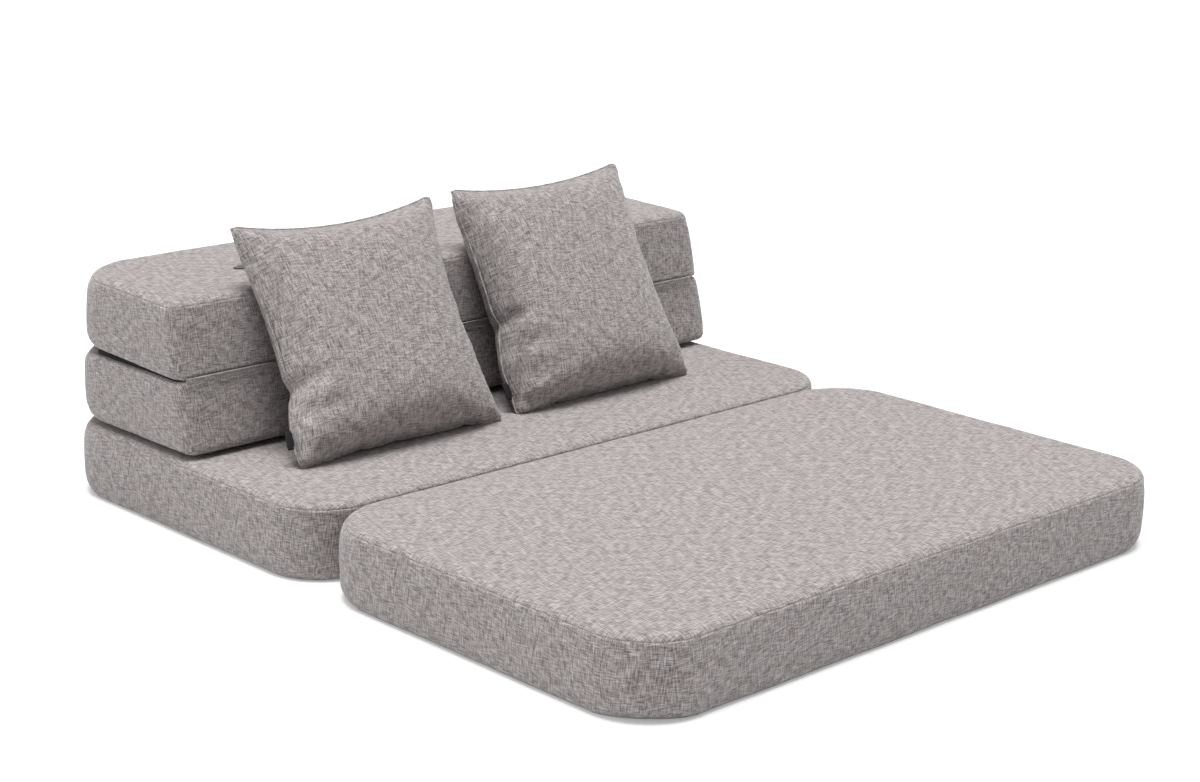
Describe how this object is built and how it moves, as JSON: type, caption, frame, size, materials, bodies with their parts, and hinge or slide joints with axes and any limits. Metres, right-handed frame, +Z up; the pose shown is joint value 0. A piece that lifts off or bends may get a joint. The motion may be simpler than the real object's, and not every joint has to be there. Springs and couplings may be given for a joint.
{
  "type": "folding sofa bed",
  "caption": "Low folding sofa bed of covered foam sections that open flat into a mattress, with loose square cushions leaning on the back.",
  "frame": {"origin": "middle of the bottom of the laid-out sofa bed, at floor level", "axes": "+Z up, +Y from the front section towards the back, +X to the right for someone standing in front of the sofa and facing it"},
  "size_m": [1.12, 1.3404, 0.4436],
  "materials": {
    "cover_fabric": "melange woven upholstery cloth",
    "base_fabric": "the same woven cloth on the underside",
    "foam": "cut cold foam",
    "fibre_filling": "loose polyester fibre",
    "zip": "nylon coil on woven tape",
    "webbing": "flat woven webbing",
    "black_tag": "satin woven tape, blank"
  },
  "bodies": {
    "seat_section": {"seat_foam": "foam", "seat_top_panel": "cover_fabric", "seat_side_band": "cover_fabric", "seat_base_panel": "base_fabric", "seat_zip": "zip", "front_hinge_strip": "cover_fabric", "rear_hinge_strip": "cover_fabric"},
    "front_section": {"front_foam": "foam", "front_top_panel": "cover_fabric", "front_side_band": "cover_fabric", "front_base_panel": "base_fabric", "front_zip": "zip"},
    "lower_back_section": {"lower_back_foam": "foam", "lower_back_top_panel": "cover_fabric", "lower_back_side_band": "cover_fabric", "lower_back_base_panel": "base_fabric", "lower_back_zip": "zip", "back_hinge_welt": "cover_fabric"},
    "upper_back_section": {"upper_back_foam": "foam", "upper_back_top_panel": "cover_fabric", "upper_back_side_band": "cover_fabric", "upper_back_base_panel": "base_fabric", "upper_back_zip": "zip", "back_strap": "webbing"},
    "left_cushion": {"left_cushion_front_cover": "cover_fabric", "left_cushion_back_cover": "cover_fabric", "left_cushion_filling": "fibre_filling", "left_cushion_tag": "black_tag", "left_cushion_zip": "zip"},
    "right_cushion": {"right_cushion_front_cover": "cover_fabric", "right_cushion_back_cover": "cover_fabric", "right_cushion_filling": "fibre_filling", "right_cushion_tag": "black_tag", "right_cushion_zip": "zip"}
  },
  "joints": [
    {"name": "front_fold", "type": "hinge", "parent": "seat_section", "child": "front_section", "pos_m": [0, 0.00109, -0.00025], "axis": [1, 0, 0], "range_deg": [0, 180]},
    {"name": "back_fold", "type": "hinge", "parent": "seat_section", "child": "lower_back_section", "pos_m": [0, 0.66259, 0.1173], "axis": [-1, 0, 0], "range_deg": [0, 180]},
    {"name": "top_fold", "type": "hinge", "parent": "lower_back_section", "child": "upper_back_section", "pos_m": [0, 0.33684, 0.2349], "axis": [1, 0, 0], "range_deg": [0, 178.12]},
    {"name": "left_cushion_lift", "type": "slide", "parent": "seat_section", "child": "left_cushion", "axis": [0, 0, 1], "range_m": [0, 0.5]},
    {"name": "right_cushion_lift", "type": "slide", "parent": "seat_section", "child": "right_cushion", "axis": [0, 0, 1], "range_m": [0, 0.5]}
  ],
  "couplings": [
    {"joint": "top_fold", "follows": "back_fold", "ratio": 0.98955}
  ]
}
